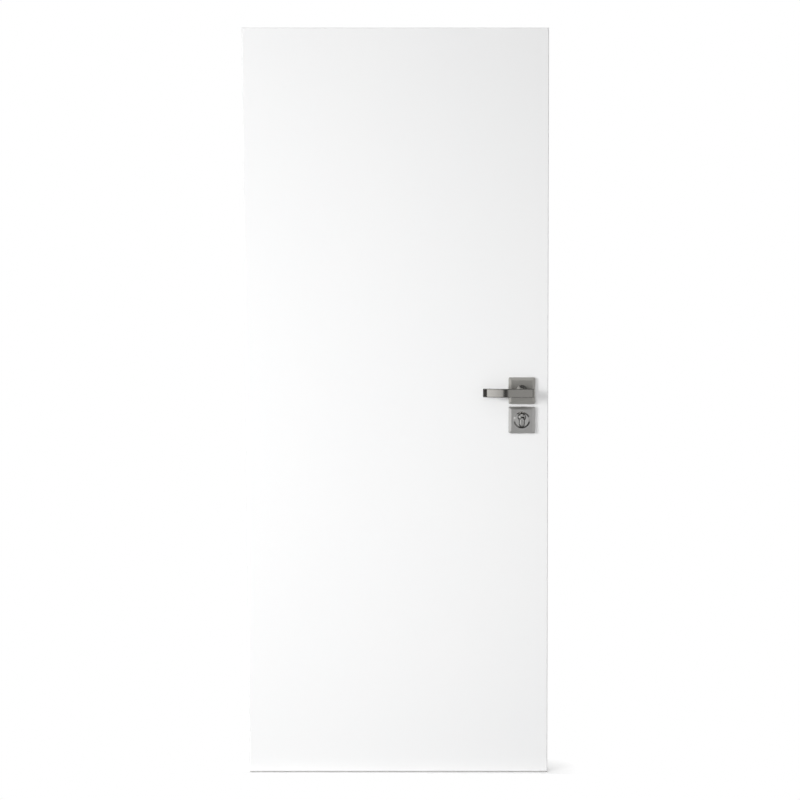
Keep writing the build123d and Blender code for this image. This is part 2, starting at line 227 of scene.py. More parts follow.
# %% [markdown]
# ## The white lacquer
# The board is sprayed with satin white lacquer. An even white would look like plastic, so three
# small things break it: a faint orange peel over the soft passes of the spray gun, a slow drift in
# tone over the length of a hand, and a film that thins at the arrises, where a little grey shows
# through. A grey line at the foot is painted contact shadow where the leaf meets the floor. All of
# them read object coordinates, so the pattern runs on from board to lipping without a break.

# %% The colours and sizes of the lacquer
WHITE = (0.900, 0.900, 0.897)
WHITE_COOL = (0.885, 0.888, 0.892)
DRIFT_SCALE = 2.2
DRIFT_DETAIL = 2.0
WORN_WHITE = (0.62, 0.61, 0.59)
WORN_REACH = 0.0022
WORN_SHARE = 0.25
PATCH_SCALE = 38.0
PATCH_DETAIL = 4.0
PATCH_LIMIT = 0.56
# painted contact shadow: a grey line along the foot where the leaf meets the floor
FOOT_SHADOW_GREY = (0.36, 0.355, 0.345)
FOOT_SHADOW_HEIGHT = 0.0050
FOOT_SHADOW_FULL = FOOT_SHADOW_HEIGHT / 3
PEEL_SCALE = 420.0
PEEL_DETAIL = 2.0
PASS_SCALE = 60.0
PASS_SQUEEZE = (1.0, 1.0, 0.35)
PASS_SHARE = 0.6
PEEL_STRENGTH = 0.10
PEEL_RELIEF = 0.0002
SHEEN_SCALE = 9.0
LACQUER_SMOOTH = 0.40
LACQUER_ROUGH = 0.47
LACQUER_IOR = 1.46
print("lacquer: roughness from", LACQUER_SMOOTH, "to", LACQUER_ROUGH)

# %% [markdown]
# ## Wear on the arrises
# The long edges of the leaf are rounded a little, and hands and frames rub them first. Blender can
# find edges by itself with a Bevel node, but only one of its renderers knows that node. Here the
# distance to the sharp corner line that each arris replaces is worked out instead, from the leaf's
# own width, height and thickness, and noise breaks the wear into patches. With that mask at hand,
# the whole lacquer is mixed from its values above.


# %% Mix the lacquer
def arris_closeness(tree, place):
    """1 on the sharp corner line that each arris replaces, falling to 0 at WORN_REACH from it."""
    axes = axes_of(tree, place)
    from_side = None
    for axis, length in (("X", LEAF_WIDTH), ("Z", LEAF_HEIGHT)):
        from_middle = maths(tree, "ABSOLUTE", maths(tree, "SUBTRACT", axes[axis], length / 2))
        distance = maths(tree, "SUBTRACT", length / 2, from_middle)
        from_side = distance if from_side is None else maths(tree, "MINIMUM", from_side, distance)
    from_face = maths(tree, "SUBTRACT", HALF_THICKNESS, maths(tree, "ABSOLUTE", axes["Y"]))
    return step(tree, length_of(tree, from_side, from_face), WORN_REACH, 0.0)


def lacquer():
    """Satin white paint: drift in tone, thin film at arrises, painted contact shadow at the foot, orange
    peel.
    """
    material, tree, place = new_finish("white_lacquer")
    colour = blend_colours(tree, noise(tree, place, DRIFT_SCALE, DRIFT_DETAIL), WHITE, WHITE_COOL)
    patches = maths(tree, "GREATER_THAN", noise(tree, place, PATCH_SCALE, PATCH_DETAIL), PATCH_LIMIT)
    worn = maths(tree, "MULTIPLY", arris_closeness(tree, place), patches)
    colour = blend_colours(tree, maths(tree, "MULTIPLY", worn, WORN_SHARE), colour, WORN_WHITE)
    # painted contact shadow along the foot of the leaf
    foot_shadow = step(tree, axes_of(tree, place)["Z"], FOOT_SHADOW_HEIGHT, FOOT_SHADOW_FULL)
    colour = blend_colours(tree, foot_shadow, colour, FOOT_SHADOW_GREY)
    peel = noise(tree, place, PEEL_SCALE, PEEL_DETAIL)
    passes = noise(tree, place, PASS_SCALE, squeeze=PASS_SQUEEZE)
    height = maths(tree, "MULTIPLY_ADD", passes, PASS_SHARE, peel)
    roughness = between(tree, noise(tree, place, SHEEN_SCALE), LACQUER_SMOOTH, LACQUER_ROUGH)
    finish_with(tree, colour, roughness, bump(tree, height, PEEL_STRENGTH, PEEL_RELIEF), IOR=LACQUER_IOR)
    return material


white_lacquer = lacquer()
print("mixed:", white_lacquer.name)

# %% [markdown]
# ## The grain of ground metal
# Grinding and brushing leave short scratches in one direction, and handling polishes broad soft
# patches. Both show in the way light spreads and hardly in the colour, so the two noises mainly
# drive the roughness, and only the scratches tilt the surface. Every nickel and steel piece has
# this grain, each with its own direction and depth, so it is a group.

# %% Build the metal grain
CLOUD_DETAIL = 3.0
SCRATCH_RELIEF = 0.0001


def build_metal_grain():
    """Roughness from scratches + share (cloud - scratches), carried onto its range; scratches as bump."""
    inputs = {
        "Place": VECTOR, "Squeeze": VECTOR, "Scratch Scale": NUMBER, "Scratch Detail": NUMBER,
        "Cloud Squeeze": VECTOR, "Cloud Scale": NUMBER, "Cloud Share": NUMBER,
        "Smooth": NUMBER, "Rough": NUMBER, "Depth": NUMBER,
    }
    outputs = {"Cloud": NUMBER, "Roughness": NUMBER, "Normal": VECTOR}
    group, given, results = new_group("metal_grain", inputs, outputs)
    place = given["Place"]
    scratches = noise(group, place, given["Scratch Scale"], given["Scratch Detail"], given["Squeeze"])
    cloud = noise(group, place, given["Cloud Scale"], CLOUD_DETAIL, given["Cloud Squeeze"])
    apart = maths(group, "SUBTRACT", cloud, scratches)
    rubbed = maths(group, "MULTIPLY_ADD", given["Cloud Share"], apart, scratches)
    values = {
        "Cloud": cloud,
        "Roughness": between(group, rubbed, given["Smooth"], given["Rough"]),
        "Normal": bump(group, scratches, given["Depth"], SCRATCH_RELIEF),
    }
    hand_out(group, results, values)
    return group


metal_grain = build_metal_grain()
print("group:", metal_grain.name)

# %% [markdown]
# ## Satin nickel
# The roses, the escutcheons and the levers are cast zinc, ground and plated with a dark satin
# nickel. One recipe serves all three, with its own colours and its own range of roughness for each
# piece. A piece may also hand over a change: a small function that darkens or polishes one place.

# %% The recipe for satin nickel
SATIN_SCRATCH_SCALE = 90.0
SATIN_SCRATCH_DETAIL = 4.0
SATIN_SCRATCH_DEPTH = 0.06
SATIN_CLOUD_SCALE = 30.0
SATIN_CLOUD_SHARE = 0.5
CLOUD_LOW = 0.1
CLOUD_HIGH = 0.9


def satin_nickel(name, squeeze, smooth, rough, dull, bright, change=None):
    """Ground and plated metal; squeeze gives the scratches their direction."""
    material, tree, place = new_finish(name)
    inputs = {
        "Place": place, "Squeeze": squeeze,
        "Scratch Scale": SATIN_SCRATCH_SCALE, "Scratch Detail": SATIN_SCRATCH_DETAIL,
        "Cloud Squeeze": EVEN, "Cloud Scale": SATIN_CLOUD_SCALE, "Cloud Share": SATIN_CLOUD_SHARE,
        "Smooth": smooth, "Rough": rough, "Depth": SATIN_SCRATCH_DEPTH,
    }
    ground = place_group(tree, metal_grain, inputs)
    colour = blend_colours(tree, between(tree, ground["Cloud"], CLOUD_LOW, CLOUD_HIGH), dull, bright)
    roughness = ground["Roughness"]
    if change:
        colour, roughness = change(tree, place, colour, roughness)
    finish_with(tree, colour, roughness, ground["Normal"], Metallic=1.0)
    return material


ROSE_SQUEEZE = (3.0, 12.0, 40.0)
ROSE_NICKEL = (0.42, 0.41, 0.385)
ROSE_NICKEL_LIGHT = (0.48, 0.47, 0.445)
rose_nickel = satin_nickel(
    "rose_nickel", ROSE_SQUEEZE, smooth=0.32, rough=0.40, dull=ROSE_NICKEL, bright=ROSE_NICKEL_LIGHT)
print("mixed:", rose_nickel.name)

# %% [markdown]
# ## Painted shade on the lever's edges
# The lever's bar is smoother than the roses, because hands polish it. A painted shade darkens its
# lower arris and its short end past the neck and frames the bar with a dark line. The line follows
# two straight edges, so two ramps of the coordinates are enough.

# %% Mix the lever's nickel
LEVER_SQUEEZE = (1.5, 12.0, 40.0)
LEVER_NICKEL = (0.335, 0.325, 0.305)
LEVER_NICKEL_LIGHT = (0.40, 0.39, 0.37)
# painted shade: a near-black colour that stands for shadow on the lever's edges and in the cylinder's joint
PAINTED_SHADE = (0.06, 0.058, 0.056)
EDGE_WIDTH = 0.0032
EDGE_SHARE = 0.6
bar_low, bar_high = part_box("front_lever")


def paint_bar_edge_shade(tree, place, colour, roughness):
    """Blends painted shade in along the bar's lower edge and its end; the roughness stays as it is."""
    axes = axes_of(tree, place)
    under = step(tree, axes["Z"], bar_low.z + EDGE_WIDTH, bar_low.z + EDGE_WIDTH / 2)
    end = step(tree, axes["X"], bar_high.x - EDGE_WIDTH, bar_high.x - EDGE_WIDTH / 2)
    # painted shade along the lower arris and the short end of the bar
    edge = maths(tree, "MULTIPLY", maths(tree, "MAXIMUM", under, end), EDGE_SHARE)
    return blend_colours(tree, edge, colour, PAINTED_SHADE), roughness


lever_nickel = satin_nickel(
    "lever_nickel", LEVER_SQUEEZE, smooth=0.10, rough=0.20,
    dull=LEVER_NICKEL, bright=LEVER_NICKEL_LIGHT, change=paint_bar_edge_shade)
print("mixed:", lever_nickel.name)

# %% [markdown]
# ## Distance from a turned middle
# The boss of the escutcheon and the face of the key plug are both turned, so their finish depends
# on the distance from a level line through the leaf. Two finishes need it, so it is a group that
# is given the height of its line.


# %% Build the distance from a line
def build_line_distance():
    """Distance from the line at the spindle's x and a given height: the root of dx² + dz²."""
    inputs = {"Place": VECTOR, "Height": NUMBER}
    group, given, results = new_group("line_distance", inputs, {"Distance": NUMBER})
    axes = axes_of(group, given["Place"])
    aside = maths(group, "SUBTRACT", axes["X"], SPINDLE_X)
    above = maths(group, "SUBTRACT", axes["Z"], given["Height"])
    hand_out(group, results, {"Distance": length_of(group, aside, above)})
    return group


line_distance = build_line_distance()
print("group:", line_distance.name)

# %% [markdown]
# ## The escutcheon's boss and the painted shadow in its joint
# On the escutcheon the round boss is polished, while the flat plate stays satin. Between the plate
# and the cylinder runs a narrow joint in shade, and a painted shadow darkens the plate towards the
# outline of the cylinder. That outline is a round head with a leg below it, and its distance is
# the smaller of the distances to the two.

# %% Mix the escutcheon's nickel
PLATE_SQUEEZE = (3.0, 12.0, 40.0)
PLATE_NICKEL = (0.50, 0.495, 0.485)
PLATE_NICKEL_LIGHT = (0.56, 0.555, 0.545)
JOINT_NEAR = 0.0018
JOINT_FAR = 0.0038
BOSS_RADIUS = 0.0232
BOSS_BORDER = 0.0005
BOSS_POLISH = 0.22
LEG_RADIUS = 0.005
cylinder_low, cylinder_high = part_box("cylinder_body")
HEAD_RADIUS = (cylinder_high.x - cylinder_low.x) / 2
LEG_LENGTH = PLUG_Z - cylinder_low.z - LEG_RADIUS


def distance_to_cylinder(tree, place):
    """How far a place lies outside the cylinder's outline: a round head and a leg that hangs from it."""
    axes = axes_of(tree, place)
    aside = maths(tree, "SUBTRACT", axes["X"], SPINDLE_X)
    above = maths(tree, "SUBTRACT", axes["Z"], PLUG_Z)
    from_head = maths(tree, "SUBTRACT", length_of(tree, above, aside), HEAD_RADIUS)
    below = maths(tree, "MAXIMUM", maths(tree, "SUBTRACT", -LEG_LENGTH, above), 0.0)
    past_leg = maths(tree, "MAXIMUM", above, below)
    from_leg = maths(tree, "SUBTRACT", length_of(tree, past_leg, aside), LEG_RADIUS)
    return maths(tree, "MINIMUM", from_head, from_leg)


def polish_boss_and_shade_joint(tree, place, colour, roughness):
    """Painted shadow in the joint round the cylinder, and a lower roughness inside the boss's radius."""
    # painted shadow in the joint round the cylinder
    joint = step(tree, distance_to_cylinder(tree, place), JOINT_FAR, JOINT_NEAR)
    from_middle = place_group(tree, line_distance, {"Place": place, "Height": PLATE_Z})["Distance"]
    outside = step(tree, from_middle, BOSS_RADIUS, BOSS_RADIUS + BOSS_BORDER)
    polish = between(tree, outside, BOSS_POLISH, 1.0)
    return blend_colours(tree, joint, colour, PAINTED_SHADE), maths(tree, "MULTIPLY", roughness, polish)


plate_nickel = satin_nickel(
    "plate_nickel", PLATE_SQUEEZE, smooth=0.28, rough=0.36,
    dull=PLATE_NICKEL, bright=PLATE_NICKEL_LIGHT, change=polish_boss_and_shade_joint)
print("mixed:", plate_nickel.name)

# %% [markdown]
# ## Steel in the lock edge
# The forend is stainless strip, brushed along its length, and the bolts are drawn steel, whose
# streaks run the way they slide. The same metal grain serves both: here the cloud is squeezed like
# the scratches, so that it gives darker streaks in place of patches.

# %% Mix the steels
STEEL = (0.56, 0.555, 0.545)
STEEL_DARK = (0.40, 0.395, 0.385)
STEEL_SCRATCH_SCALE = 120.0
STEEL_SCRATCH_DETAIL = 5.0
STEEL_SCRATCH_DEPTH = 0.12
STEEL_STREAK_SCALE = 25.0
ALONG_FOREND = (20.0, 20.0, 0.6)
ALONG_BOLT = (1.0, 20.0, 12.0)


def brushed_steel(name, squeeze, smooth, rough):
    """Steel with long fine scratches along one axis and a few darker streaks."""
    material, tree, place = new_finish(name)
    inputs = {
        "Place": place, "Squeeze": squeeze,
        "Scratch Scale": STEEL_SCRATCH_SCALE, "Scratch Detail": STEEL_SCRATCH_DETAIL,
        "Cloud Squeeze": squeeze, "Cloud Scale": STEEL_STREAK_SCALE, "Cloud Share": 0.0,
        "Smooth": smooth, "Rough": rough, "Depth": STEEL_SCRATCH_DEPTH,
    }
    ground = place_group(tree, metal_grain, inputs)
    colour = blend_colours(tree, ground["Cloud"], STEEL, STEEL_DARK)
    finish_with(tree, colour, ground["Roughness"], ground["Normal"], Metallic=1.0)
    return material


forend_steel = brushed_steel("forend_steel", ALONG_FOREND, smooth=0.22, rough=0.40)
bolt_steel = brushed_steel("bolt_steel", ALONG_BOLT, smooth=0.18, rough=0.32)
print("mixed:", forend_steel.name, bolt_steel.name)

# %% [markdown]
# ## The plated cylinder and its keyway
# The cylinder is brass with a bright satin plating. Its plug is turned, which leaves fine rings
# round the middle, so the rings are a wave of the distance from the plug's axis. The keyway is
# deep, and from the front it reads as a dark slot that runs out to the side. A box-shaped mask
# paints that shade over its mouth, and its ramp keeps the slot's border soft.

# %% Mix the plating
PLATING = (0.50, 0.495, 0.485)
PLATING_DARK = (0.40, 0.395, 0.385)
PLATING_SCALE = 700.0
PLATING_SMOOTH = 0.12
PLATING_ROUGH = 0.22
RINGS_PER_METRE = 2600.0
RING_SHARE = 0.4
TURNING_RELIEF = 0.000005
# painted shade: the keyway's depth drawn as a near-black patch over its mouth
KEYWAY_SHADE = (0.03, 0.03, 0.03)
KEYWAY_ASIDE = 0.0027
KEYWAY_DROP = 0.0006
KEYWAY_REACH = 0.0042
KEYWAY_HALF = 0.0016
KEYWAY_BORDER = 0.0004


def keyway_shade_mask(tree, place):
    """1 in a box KEYWAY_REACH to either side and KEYWAY_HALF up and down, 0 past its soft border."""
    axes = axes_of(tree, place)
    beside = maths(tree, "ABSOLUTE", maths(tree, "SUBTRACT", axes["X"], SPINDLE_X + KEYWAY_ASIDE))
    above = maths(tree, "ABSOLUTE", maths(tree, "SUBTRACT", axes["Z"], PLUG_Z - KEYWAY_DROP))
    evened = maths(tree, "MULTIPLY", beside, KEYWAY_HALF / KEYWAY_REACH)
    return step(tree, maths(tree, "MAXIMUM", evened, above), KEYWAY_HALF + KEYWAY_BORDER, KEYWAY_HALF)


def turned_plating(name):
    """Plated brass: fine rings round the plug's axis and painted shade over the keyway."""
    material, tree, place = new_finish(name)
    radius = place_group(tree, line_distance, {"Place": place, "Height": PLUG_Z})["Distance"]
    rings = maths(tree, "SINE", maths(tree, "MULTIPLY", radius, 2 * math.pi * RINGS_PER_METRE))
    grain = noise(tree, place, PLATING_SCALE)
    colour = blend_colours(tree, grain, PLATING, PLATING_DARK)
    # painted shade over the keyway's mouth
    colour = blend_colours(tree, keyway_shade_mask(tree, place), colour, KEYWAY_SHADE)
    height = maths(tree, "MULTIPLY_ADD", rings, RING_SHARE, grain)
    roughness = between(tree, grain, PLATING_SMOOTH, PLATING_ROUGH)
    finish_with(tree, colour, roughness, bump(tree, height, 1.0, TURNING_RELIEF), Metallic=1.0)
    return material


cylinder_plating = turned_plating("cylinder_plating")
print("mixed:", cylinder_plating.name)

# %% [markdown]
# ## Timber inside the leaf
# Stiles, rails and lock block are sawn softwood, closed in by the skins. Each still gets its own
# finish, because a part library may show it apart. Growth rings are a wave bent by noise, and a
# squeeze along the grain draws them out. Upright and level pieces only differ in the direction of
# that squeeze, so the grain is a group.

# %% Mix the timber
SPRING_WOOD = (0.70, 0.53, 0.33)
LATE_WOOD = (0.52, 0.35, 0.19)
YEAR_SCALE = 28.0
YEAR_BEND = 3.5
YEAR_DETAIL = 3.0
TIMBER_SMOOTH = 0.62
TIMBER_ROUGH = 0.78
FIBRE_SCALE = 300.0
FIBRE_STRENGTH = 0.3
FIBRE_RELIEF = 0.0003
UPRIGHT = (1.0, 1.0, 0.06)
LEVEL = (0.06, 1.0, 1.0)


def build_timber_grain():
    """Growth rings as a wave bent by noise and fine fibres, both drawn out along the grain."""
    outputs = {"Color": COLOUR, "Roughness": NUMBER, "Normal": VECTOR}
    group, given, results = new_group("timber_grain", {"Place": VECTOR, "Squeeze": VECTOR}, outputs)
    along = add(group, "ShaderNodeMapping", {"Vector": given["Place"], "Scale": given["Squeeze"]})
    wave = {"Vector": along.outputs[0], "Scale": YEAR_SCALE, "Distortion": YEAR_BEND, "Detail": YEAR_DETAIL}
    years = add(group, "ShaderNodeTexWave", wave).outputs["Fac"]
    fibres = noise(group, given["Place"], FIBRE_SCALE, squeeze=given["Squeeze"])
    values = {
        "Color": blend_colours(group, years, SPRING_WOOD, LATE_WOOD),
        "Roughness": between(group, years, TIMBER_SMOOTH, TIMBER_ROUGH),
        "Normal": bump(group, fibres, FIBRE_STRENGTH, FIBRE_RELIEF),
    }
    hand_out(group, results, values)
    return group


def softwood(name, squeeze):
    """Sawn softwood, whose grain runs along the axis with the smallest factor."""
    material, tree, place = new_finish(name)
    sawn = place_group(tree, timber_grain, {"Place": place, "Squeeze": squeeze})
    finish_with(tree, sawn["Color"], sawn["Roughness"], sawn["Normal"])
    return material


timber_grain = build_timber_grain()
upright_timber = softwood("upright_timber", UPRIGHT)
level_timber = softwood("level_timber", LEVEL)
print("mixed:", upright_timber.name, level_timber.name)

# %% [markdown]
# ## Board and nylon
# The core is chipboard, pressed from flakes, and a cell pattern gives each flake its own tone. The
# fixing plates under the roses are black moulded nylon, whose mould was spark-eroded, so their
# surface is finely pitted and hardly shines.

# %% Mix the board and the nylon
FLAKE_LIGHT = (0.60, 0.47, 0.31)
FLAKE_DARK = (0.36, 0.26, 0.16)
FLAKE_SCALE = 260.0
FLAKE_STRENGTH = 0.3
FLAKE_RELIEF = 0.0004
BOARD_SMOOTH = 0.7
BOARD_ROUGH = 0.9
NYLON = (0.035, 0.035, 0.037)
NYLON_GREY = (0.060, 0.060, 0.062)
NYLON_SCALE = 1500.0
NYLON_DETAIL = 2.0
NYLON_STRENGTH = 0.15
NYLON_RELIEF = 0.0001
NYLON_SMOOTH = 0.45
NYLON_ROUGH = 0.6


def chipboard():
    """Pressed flakes: cells that darken away from their middles, with a rough surface."""
    material, tree, place = new_finish("chipboard")
    flakes = add(tree, "ShaderNodeTexVoronoi", {"Vector": place, "Scale": FLAKE_SCALE}).outputs["Distance"]
    colour = blend_colours(tree, flakes, FLAKE_LIGHT, FLAKE_DARK)
    roughness = between(tree, flakes, BOARD_SMOOTH, BOARD_ROUGH)
    finish_with(tree, colour, roughness, bump(tree, flakes, FLAKE_STRENGTH, FLAKE_RELIEF))
    return material


def moulded_nylon():
    """Black nylon with a fine even texture."""
    material, tree, place = new_finish("moulded_nylon")
    pits = noise(tree, place, NYLON_SCALE, NYLON_DETAIL)
    colour = blend_colours(tree, pits, NYLON, NYLON_GREY)
    roughness = between(tree, pits, NYLON_SMOOTH, NYLON_ROUGH)
    finish_with(tree, colour, roughness, bump(tree, pits, NYLON_STRENGTH, NYLON_RELIEF))
    return material


core_board = chipboard()
black_nylon = moulded_nylon()
print("mixed:", core_board.name, black_nylon.name)

# %% [markdown]
# ## Which piece gets which finish
# The table names each solid once, beside the finish that its real piece has. The solids' meshes
# aren't touched: only their material slots are filled.

# %% Put the finishes on the solids
finishes = {
    white_lacquer: [
        "front_skin", "back_skin", "hinge_lipping", "lock_lipping", "top_lipping", "bottom_lipping"],
    upright_timber: ["hinge_stile", "lock_stile", "lock_block"],
    level_timber: ["top_rail", "bottom_rail"],
    core_board: ["core"],
    lever_nickel: ["front_lever", "back_lever"],
    rose_nickel: ["front_rose", "back_rose"],
    plate_nickel: ["front_escutcheon", "back_escutcheon"],
    forend_steel: ["forend", "lock_case"],
    bolt_steel: ["latch_bolt", "dead_bolt", "follower", "spindle"],
    cylinder_plating: ["cylinder_body", "front_key_plug", "back_key_plug"],
    black_nylon: ["front_rose_base", "back_rose_base", "front_escutcheon_base", "back_escutcheon_base"],
}
for material, names in finishes.items():
    for name in names:
        mesh = nodes[name].data
        mesh.materials.clear()
        mesh.materials.append(material)
print("pieces finished:", sum(len(names) for names in finishes.values()))

# %% [markdown]
# ## A mesh from rings of points
# The screws and the rims below are both rows of closed rings: a screw is turned, and a rim is one
# outline carried round an axis. A modifier such as Screw could make either, but rings worked out
# in numpy keep every point where its formula puts it. One helper joins neighbouring rings with
# four-sided faces and fills the first and the last one, so the surface is closed.

# %% Join rings into a mesh
SHARP_ANGLE = math.radians(35)


def join_rings(name, points):
    """Faces between points [i, j], [i + 1, j], [i + 1, j + 1] and [i, j + 1], and a cap at either end."""
    rings, sides = points.shape[:2]
    row, column = np.meshgrid(np.arange(rings - 1), np.arange(sides), indexing="ij")
    here = row * sides
    there = here + sides
    beside = (column + 1) % sides
    quads = np.stack([here + column, there + column, there + beside, here + beside], axis=-1)
    caps = [list(range(sides)), list(range(rings * sides - 1, (rings - 1) * sides - 1, -1))]
    mesh = bpy.data.meshes.new(name)
    mesh.from_pydata(points.reshape(-1, 3).tolist(), [], quads.reshape(-1, 4).tolist() + caps)
    mesh.polygons.foreach_set("use_smooth", np.ones(len(mesh.polygons), dtype=bool))
    mesh.set_sharp_from_angle(angle=SHARP_ANGLE)
    made = bpy.data.objects.new(name, mesh)
    bpy.context.scene.collection.objects.link(made)
    return made


print("ring helper ready")

# %% [markdown]
# ## The three screws in the lock edge
# Two countersunk screws hold the forend and a third, lower one holds the cylinder. Such a screw is
# a turned blank with a cross pressed into its head, so it is made like that: rings of a growing
# radius over the top face, then the cone and the shank, and the points of the top face sink where
# the cross is. One function serves all three, because only the height differs.

# %% Turn the screws
SCREW_TIP_RADIUS = 0.00005
SCREW_HEAD_RADIUS = 0.0039
SCREW_SHANK_RADIUS = 0.0020
SCREW_HEAD_DEPTH = 0.0018
SCREW_LENGTH = 0.0029
SCREW_SUNK = 0.0001
SCREW_TOP_RINGS = 30
SCREW_SIDES = 64
CROSS_REACH = 0.0022
CROSS_HALF = 0.00055
CROSS_DEPTH = 0.0011
CROSS_SIDE = 0.0002
forend_low, forend_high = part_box("forend")


def within(distance, half):
    """1 inside half, 0 outside, with a steep side between."""
    return np.clip((half - np.abs(distance)) / CROSS_SIDE, 0.0, 1.0)


def screw_surface(height):
    """Rings of radius r at depth d under the forend: x falls by d, and by the cross on the top face."""
    angles = np.arange(SCREW_SIDES) * 2 * np.pi / SCREW_SIDES
    top = np.linspace(SCREW_TIP_RADIUS, SCREW_HEAD_RADIUS, SCREW_TOP_RINGS)
    radius = np.concatenate([top, [SCREW_SHANK_RADIUS, SCREW_SHANK_RADIUS]])[:, None]
    depth = np.concatenate([np.zeros(SCREW_TOP_RINGS), [SCREW_HEAD_DEPTH, SCREW_LENGTH]])[:, None]
    across = radius * np.cos(angles)[None, :]
    up = radius * np.sin(angles)[None, :]
    upright_arm = within(across, CROSS_HALF) * within(up, CROSS_REACH)
    level_arm = within(up, CROSS_HALF) * within(across, CROSS_REACH)
    sunk = CROSS_DEPTH * np.maximum(upright_arm, level_arm) * (depth == 0)
    x = forend_high.x - SCREW_SUNK - depth - sunk
    return np.stack([x, across, height + up], axis=-1)


print("points on a screw:", screw_surface(0.0).shape[:2])

# %% [markdown]
# ## Where the screws sit
# The two screws of the forend sit near its ends, at the same distance from both. The screw of the
# cylinder sits below the plug, level with the cylinder's leg, as its thread is in that leg.

# %% Place the screws
SCREW_FROM_END = 0.010
CYLINDER_SCREW_DROP = 0.0155
SCREW_SQUEEZE = (6.0, 6.0, 6.0)
forend_middle = (forend_low.z + forend_high.z) / 2
screw_reach = (forend_high.z - forend_low.z) / 2 - SCREW_FROM_END
screw_heights = {
    "forend_screw_top": forend_middle + screw_reach,
    "forend_screw_foot": forend_middle - screw_reach,
    "cylinder_screw": PLUG_Z - CYLINDER_SCREW_DROP,
}
screw_steel = brushed_steel("screw_steel", SCREW_SQUEEZE, smooth=0.24, rough=0.36)
for name, height in screw_heights.items():
    screw = join_rings(name, screw_surface(height))
    screw.data.materials.append(screw_steel)
    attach(screw, "leaf")
print("screws:", len(screw_heights))

# %% [markdown]
# ## The rolled rim of the key plug
# Round its keyway the plug has a raised rim that slopes down to its edge and is open where the key
# goes in. A bump could hint at it, but then it would be missing from the mesh. So it is a ring of
# one outline, steep on the inside and sloping to the outside, carried round the plug's axis from
# one side of the keyway to the other. The front rim turns with its plug.

# %% Sweep the rims
RIM_INSIDE = 0.0042
RIM_OUTSIDE = 0.0063
RIM_HEIGHT = 0.0008
RIM_RISE_SHARE = 0.12
RIM_SUNK = 0.0001
RIM_OPEN = math.radians(24)
RIM_RINGS = 61
RIM_STEPS = 12


def rim_surface(face, outwards):
    """Height is RIM_HEIGHT (1 - t) times the root of the rise, where t is the share of the width."""
    share = np.linspace(0.0, 1.0, RIM_STEPS)
    rise = np.sqrt(np.clip(share / RIM_RISE_SHARE, 0.0, 1.0))
    radius = RIM_INSIDE + (RIM_OUTSIDE - RIM_INSIDE) * share
    height = RIM_HEIGHT * (1 - share) * rise
    radius = np.concatenate([radius, [RIM_OUTSIDE, RIM_INSIDE]])
    height = np.concatenate([height, [-RIM_SUNK, -RIM_SUNK]])
    angles = np.linspace(RIM_OPEN, 2 * np.pi - RIM_OPEN, RIM_RINGS)
    if outwards < 0:
        angles = angles[::-1]
    x = SPINDLE_X + np.cos(angles)[:, None] * radius[None, :]
    z = PLUG_Z + np.sin(angles)[:, None] * radius[None, :]
    y = np.broadcast_to(face + outwards * height, x.shape)
    return np.stack([x, y, z], axis=-1)


_, back_plug_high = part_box("back_key_plug")
rims = {
    "front_plug_rim": (plug_low.y, -1.0, "key_plug"),
    "back_plug_rim": (back_plug_high.y, 1.0, "leaf"),
}
for name, (face, outwards, body) in rims.items():
    rim = join_rings(name, rim_surface(face, outwards))
    rim.data.materials.append(cylinder_plating)
    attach(rim, body)
print("rims:", len(rims))

# %% [markdown]
# ## Who looks at the floor
# The picture wants a white ground, and yet the ground must throw no extra light on the leaf. A
# light path tells both apart: a ray from the camera, through glass or from a mirror sees the
# ground, and every other ray only carries light.


# %% Tell looking from lighting
def seen_ray(tree, mirrors=True):
    """1 where the camera looks, straight or through glass, and in mirrors where asked for; 0 for light."""
    path = add(tree, "ShaderNodeLightPath").outputs
    seen = maths(tree, "MAXIMUM", path["Is Camera Ray"], path["Is Transmission Ray"])
    return maths(tree, "MAXIMUM", seen, path["Is Glossy Ray"]) if mirrors else seen


print("light paths ready")

# %% [markdown]
# ## The floor
# The leaf stands on a pale floor that runs out into a white ground with no line between them. Next
# to the leaf the floor is matt and lit like the leaf, so it keeps the soft shadow, and a small glow
# lifts it for the camera. Further out the camera and the mirrors see plain white, and the change
# follows the distance from the leaf's foot. In front the sheet ends a finger's width off the leaf,
# because a wide pale floor there would throw its light up at the foot of the leaf.

# %% The floor's finish
FLOOR_TONE = 0.80
FLOOR_DRIFT = 0.01
FLOOR_DRIFT_SCALE = 3.0
FLOOR_DRIFT_DETAIL = 2.0
FLOOR_GLOW = 0.30
SHADOW_REACH = 0.085
PLAIN_WHITE = 1.0


def distance_from_foot(tree, place):
    """How far a point of the floor lies outside the leaf's own footprint, in metres."""
    axes = axes_of(tree, place)
    from_middle = maths(tree, "ABSOLUTE", maths(tree, "SUBTRACT", axes["X"], LEAF_WIDTH / 2))
    aside = maths(tree, "MAXIMUM", maths(tree, "SUBTRACT", from_middle, LEAF_WIDTH / 2), 0.0)
    from_core = maths(tree, "ABSOLUTE", axes["Y"])
    off_face = maths(tree, "MAXIMUM", maths(tree, "SUBTRACT", from_core, HALF_THICKNESS), 0.0)
    return length_of(tree, aside, off_face)


